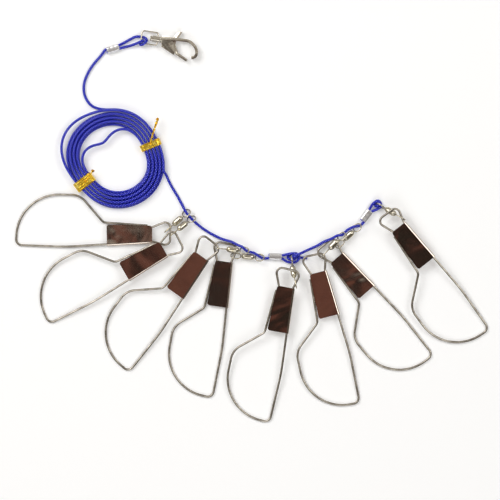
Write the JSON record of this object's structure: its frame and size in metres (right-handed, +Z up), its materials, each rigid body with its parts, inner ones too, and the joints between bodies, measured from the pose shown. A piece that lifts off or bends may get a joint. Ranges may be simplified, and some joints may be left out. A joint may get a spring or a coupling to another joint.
{
  "type": "fish stringer",
  "caption": "Braided cord line with swivelling wire snaps that hold fish by the jaw, a wound coil of spare line and a trigger snap for clipping it to a boat.",
  "frame": {"origin": "centre of the bounding box of all pieces but the cords, on the surface it lies on", "axes": "+Z up from that surface; +X to the right and +Y away, as the stringer lies in the picture with its coil at the upper left"},
  "size_m": [0.3642, 0.3022, 0.0127],
  "materials": {
    "steel_wire": "bright drawn spring steel wire",
    "plate_steel": "polished stainless sheet",
    "nickel": "nickel-plated brass",
    "cord": "braided polypropylene cord",
    "sleeve": "bright crimped aluminium",
    "tie_foil": "gold foil twist tie",
    "spring_steel": "spring wire"
  },
  "bodies": {
    "line": {"cord_lead": "cord", "cord_coil": "cord", "cord_run_a": "cord", "cord_run_b": "cord", "crimp_sleeves": "sleeve", "twist_ties": "tie_foil"},
    "eye_1": {"cord_eye_1": "nickel"},
    "swivel_1": {"barrel_1": "nickel"},
    "link_1": {"link_eye_1": "nickel"},
    "snap_1": {"snap_wire_1": "steel_wire", "clasp_plate_1": "plate_steel"},
    "arm_1": {"latch_arm_1": "steel_wire"},
    "eye_2": {"cord_eye_2": "nickel"},
    "swivel_2": {"barrel_2": "nickel"},
    "link_2": {"link_eye_2": "nickel"},
    "snap_2": {"snap_wire_2": "steel_wire", "clasp_plate_2": "plate_steel"},
    "arm_2": {"latch_arm_2": "steel_wire"},
    "eye_3": {"cord_eye_3": "nickel"},
    "swivel_3": {"barrel_3": "nickel"},
    "link_3": {"link_eye_3": "nickel"},
    "snap_3": {"snap_wire_3": "steel_wire", "clasp_plate_3": "plate_steel"},
    "arm_3": {"latch_arm_3": "steel_wire"},
    "eye_4": {"cord_eye_4": "nickel"},
    "swivel_4": {"barrel_4": "nickel"},
    "link_4": {"link_eye_4": "nickel"},
    "snap_4": {"snap_wire_4": "steel_wire", "clasp_plate_4": "plate_steel"},
    "arm_4": {"latch_arm_4": "steel_wire"},
    "eye_5": {"cord_eye_5": "nickel"},
    "swivel_5": {"barrel_5": "nickel"},
    "link_5": {"link_eye_5": "nickel"},
    "snap_5": {"snap_wire_5": "steel_wire", "clasp_plate_5": "plate_steel"},
    "arm_5": {"latch_arm_5": "steel_wire"},
    "eye_6": {"cord_eye_6": "nickel"},
    "swivel_6": {"barrel_6": "nickel"},
    "link_6": {"link_eye_6": "nickel"},
    "snap_6": {"snap_wire_6": "steel_wire", "clasp_plate_6": "plate_steel"},
    "arm_6": {"latch_arm_6": "steel_wire"},
    "eye_7": {"cord_eye_7": "nickel"},
    "swivel_7": {"barrel_7": "nickel"},
    "link_7": {"link_eye_7": "nickel"},
    "snap_7": {"snap_wire_7": "steel_wire", "clasp_plate_7": "plate_steel"},
    "arm_7": {"latch_arm_7": "steel_wire"},
    "eye_8": {"cord_eye_8": "nickel"},
    "swivel_8": {"barrel_8": "nickel"},
    "link_8": {"link_eye_8": "nickel"},
    "snap_8": {"snap_wire_8": "steel_wire", "clasp_plate_8": "plate_steel"},
    "arm_8": {"latch_arm_8": "steel_wire"},
    "clip_eye": {"clip_eye": "nickel"},
    "hook": {"hook_body": "nickel", "gate_rivet": "spring_steel", "gate_spring": "spring_steel"},
    "gate": {"gate_lever": "nickel"}
  },
  "joints": [
    {"name": "ring_swing_1", "type": "hinge", "parent": "line", "child": "eye_1", "pos_m": [-0.05017, 0.01004, 0.0031], "axis": [-0.6324, 0.7747, 0], "range_deg": [0, 1]},
    {"name": "swivel_spin_1", "type": "hinge", "parent": "eye_1", "child": "swivel_1", "pos_m": [-0.05017, 0.01004, 0.0031], "axis": [-0.7495, -0.6618, 0.0182], "continuous": true},
    {"name": "link_twist_1", "type": "hinge", "parent": "eye_1", "child": "link_1", "pos_m": [-0.05017, 0.01004, 0.0031], "axis": [-0.7495, -0.6618, 0.0182], "range_deg": [-4, 5]},
    {"name": "snap_hang_1", "type": "hinge", "parent": "link_1", "child": "snap_1", "pos_m": [-0.06244, -0.0008, 0.0034], "axis": [-0.0772, 0.997, -0.0013], "range_deg": [0, 1.5]},
    {"name": "latch_1", "type": "hinge", "parent": "snap_1", "child": "arm_1", "pos_m": [-0.17691, -0.0146, 0.001], "axis": [-0.0209, -0.0003, 0.9998], "range_deg": [0, 4.5], "stiffness_Nm_per_rad": 0.05},
    {"name": "ring_swing_2", "type": "hinge", "parent": "line", "child": "eye_2", "pos_m": [-0.04632, 0.00557, 0.0031], "axis": [-0.653, 0.7089, 0.2665], "range_deg": [0, 25]},
    {"name": "swivel_spin_2", "type": "hinge", "parent": "eye_2", "child": "swivel_2", "pos_m": [-0.04632, 0.00557, 0.0031], "axis": [-0.7447, -0.6018, 0.2887], "continuous": true},
    {"name": "link_twist_2", "type": "hinge", "parent": "eye_2", "child": "link_2", "pos_m": [-0.04632, 0.00557, 0.0031], "axis": [-0.7447, -0.6018, 0.2887], "range_deg": [-5, 12]},
    {"name": "snap_hang_2", "type": "hinge", "parent": "link_2", "child": "snap_2", "pos_m": [-0.05933, -0.00494, 0.00814], "axis": [-0.8759, 0.4815, -0.0322], "range_deg": [0, 18]},
    {"name": "latch_2", "type": "hinge", "parent": "snap_2", "child": "arm_2", "pos_m": [-0.15163, -0.07309, 0.00118], "axis": [-0.0532, -0.03, 0.9981], "range_deg": [0, 5], "stiffness_Nm_per_rad": 0.05},
    {"name": "ring_swing_3", "type": "hinge", "parent": "line", "child": "eye_3", "pos_m": [-0.00543, -0.01876, 0.0062], "axis": [-0.7119, 0.5695, 0.4109], "range_deg": [0, 6]},
    {"name": "swivel_spin_3", "type": "hinge", "parent": "eye_3", "child": "swivel_3", "pos_m": [-0.00543, -0.01876, 0.0062], "axis": [-0.9965, 0.0808, 0.022], "continuous": true},
    {"name": "link_twist_3", "type": "hinge", "parent": "eye_3", "child": "link_3", "pos_m": [-0.00543, -0.01876, 0.0062], "axis": [-0.9965, 0.0808, 0.022], "range_deg": [-12, 12]},
    {"name": "snap_hang_3", "type": "hinge", "parent": "link_3", "child": "snap_3", "pos_m": [-0.02554, -0.01713, 0.00664], "axis": [-0.0953, 0.9948, 0.0368], "range_deg": [0, 18]},
    {"name": "latch_3", "type": "hinge", "parent": "snap_3", "child": "arm_3", "pos_m": [-0.09156, -0.10867, 0.00112], "axis": [-0.0285, -0.0397, 0.9988], "range_deg": [0, 2], "stiffness_Nm_per_rad": 0.05},
    {"name": "ring_swing_4", "type": "hinge", "parent": "line", "child": "eye_4", "pos_m": [0.00628, -0.02415, 0.0031], "axis": [-0.7587, 0.5058, 0.4105], "range_deg": [0, 5]},
    {"name": "swivel_spin_4", "type": "hinge", "parent": "eye_4", "child": "swivel_4", "pos_m": [0.00628, -0.02415, 0.0031], "axis": [-0.9963, 0.0768, -0.0383], "continuous": true},
    {"name": "link_twist_4", "type": "hinge", "parent": "eye_4", "child": "link_4", "pos_m": [0.00628, -0.02415, 0.0031], "axis": [-0.9963, 0.0768, -0.0383], "range_deg": [-1, 12]},
    {"name": "snap_hang_4", "type": "hinge", "parent": "link_4", "child": "snap_4", "pos_m": [-0.01324, -0.02265, 0.00235], "axis": [0.4181, 0.9083, 0.0126], "range_deg": [0, 3.5]},
    {"name": "latch_4", "type": "hinge", "parent": "snap_4", "child": "arm_4", "pos_m": [-0.02927, -0.12765, 0.00096], "axis": [-0.002, -0.0129, 0.9999], "range_deg": [0, 12], "stiffness_Nm_per_rad": 0.05},
    {"name": "ring_swing_5", "type": "hinge", "parent": "line", "child": "eye_5", "pos_m": [0.03061, -0.02646, 0.004], "axis": [-0.9908, 0.0826, 0.1072], "range_deg": [0, 8]},
    {"name": "swivel_spin_5", "type": "hinge", "parent": "eye_5", "child": "swivel_5", "pos_m": [0.03061, -0.02646, 0.004], "axis": [0.1778, -0.9413, 0.287], "continuous": true},
    {"name": "link_twist_5", "type": "hinge", "parent": "eye_5", "child": "link_5", "pos_m": [0.03061, -0.02646, 0.004], "axis": [0.1778, -0.9413, 0.287], "range_deg": [-12, 12]},
    {"name": "snap_hang_5", "type": "hinge", "parent": "link_5", "child": "snap_5", "pos_m": [0.03389, -0.04385, 0.0093], "axis": [0.4491, 0.8905, 0.0737], "range_deg": [0, 18]},
    {"name": "latch_5", "type": "hinge", "parent": "snap_5", "child": "arm_5", "pos_m": [0.01486, -0.14673, 0.00125], "axis": [-0.0141, -0.0754, 0.9971], "range_deg": [0, 12], "stiffness_Nm_per_rad": 0.05},
    {"name": "ring_swing_6", "type": "hinge", "parent": "line", "child": "eye_6", "pos_m": [0.06942, -0.00775, 0.0062], "axis": [-0.8559, -0.0658, 0.513], "range_deg": [0, 5]},
    {"name": "swivel_spin_6", "type": "hinge", "parent": "eye_6", "child": "swivel_6", "pos_m": [0.06942, -0.00775, 0.0062], "axis": [-0.6992, -0.7146, 0.0215], "continuous": true},
    {"name": "link_twist_6", "type": "hinge", "parent": "eye_6", "child": "link_6", "pos_m": [0.06942, -0.00775, 0.0062], "axis": [-0.6992, -0.7146, 0.0215], "range_deg": [-12, 12]},
    {"name": "snap_hang_6", "type": "hinge", "parent": "link_6", "child": "snap_6", "pos_m": [0.05541, -0.02206, 0.00663], "axis": [-0.7662, 0.6414, 0.0396], "range_deg": [0, 18]},
    {"name": "latch_6", "type": "hinge", "parent": "snap_6", "child": "arm_6", "pos_m": [0.08243, -0.13135, 0.00112], "axis": [0.0119, -0.0474, 0.9988], "range_deg": [0, 12], "stiffness_Nm_per_rad": 0.05},
    {"name": "ring_swing_7", "type": "hinge", "parent": "line", "child": "eye_7", "pos_m": [0.08143, -0.00105, 0.0031], "axis": [-0.918, -0.1425, 0.37], "range_deg": [0, 3]},
    {"name": "swivel_spin_7", "type": "hinge", "parent": "eye_7", "child": "swivel_7", "pos_m": [0.08143, -0.00105, 0.0031], "axis": [-0.727, -0.6856, -0.0372], "continuous": true},
    {"name": "link_twist_7", "type": "hinge", "parent": "eye_7", "child": "link_7", "pos_m": [0.08143, -0.00105, 0.0031], "axis": [-0.727, -0.6856, -0.0372], "range_deg": [0, 12]},
    {"name": "snap_hang_7", "type": "hinge", "parent": "link_7", "child": "snap_7", "pos_m": [0.06699, -0.01467, 0.00236], "axis": [-0.4223, 0.9064, 0.0126], "range_deg": [0, 1]},
    {"name": "latch_7", "type": "hinge", "parent": "snap_7", "child": "arm_7", "pos_m": [0.13708, -0.09563, 0.00096], "axis": [0.0086, -0.0099, 0.9999], "range_deg": [0, 12], "stiffness_Nm_per_rad": 0.05},
    {"name": "ring_swing_8", "type": "hinge", "parent": "line", "child": "eye_8", "pos_m": [0.09945, 0.01558, 0.004], "axis": [-0.5131, -0.8551, 0.074], "range_deg": [0, 25]},
    {"name": "swivel_spin_8", "type": "hinge", "parent": "eye_8", "child": "swivel_8", "pos_m": [0.09945, 0.01558, 0.004], "axis": [0.837, -0.4767, 0.2686], "continuous": true},
    {"name": "link_twist_8", "type": "hinge", "parent": "eye_8", "child": "link_8", "pos_m": [0.09945, 0.01558, 0.004], "axis": [0.837, -0.4767, 0.2686], "range_deg": [-12, 12]},
    {"name": "snap_hang_8", "type": "hinge", "parent": "link_8", "child": "snap_8", "pos_m": [0.11586, 0.00623, 0.00927], "axis": [-0.3726, 0.9251, 0.0737], "range_deg": [0, 18]},
    {"name": "latch_8", "type": "hinge", "parent": "snap_8", "child": "arm_8", "pos_m": [0.18043, -0.07555, 0.00125], "axis": [0.0473, -0.0604, 0.9971], "range_deg": [0, 12], "stiffness_Nm_per_rad": 0.05},
    {"name": "clip_swing", "type": "hinge", "parent": "line", "child": "clip_eye", "pos_m": [-0.0847, 0.14587, 0.0032], "axis": [-0.1478, -0.989, 0], "range_deg": [-5, 1.5]},
    {"name": "hook_spin", "type": "hinge", "parent": "clip_eye", "child": "hook", "pos_m": [-0.07026, 0.14371, 0.0032], "axis": [-0.989, 0.1478, 0], "continuous": true},
    {"name": "gate_open", "type": "hinge", "parent": "hook", "child": "gate", "pos_m": [-0.06133, 0.14086, 0.0032], "axis": [0, 0, 1], "range_deg": [0, 16], "stiffness_Nm_per_rad": 0.004, "springref_deg": -28.65}
  ]
}
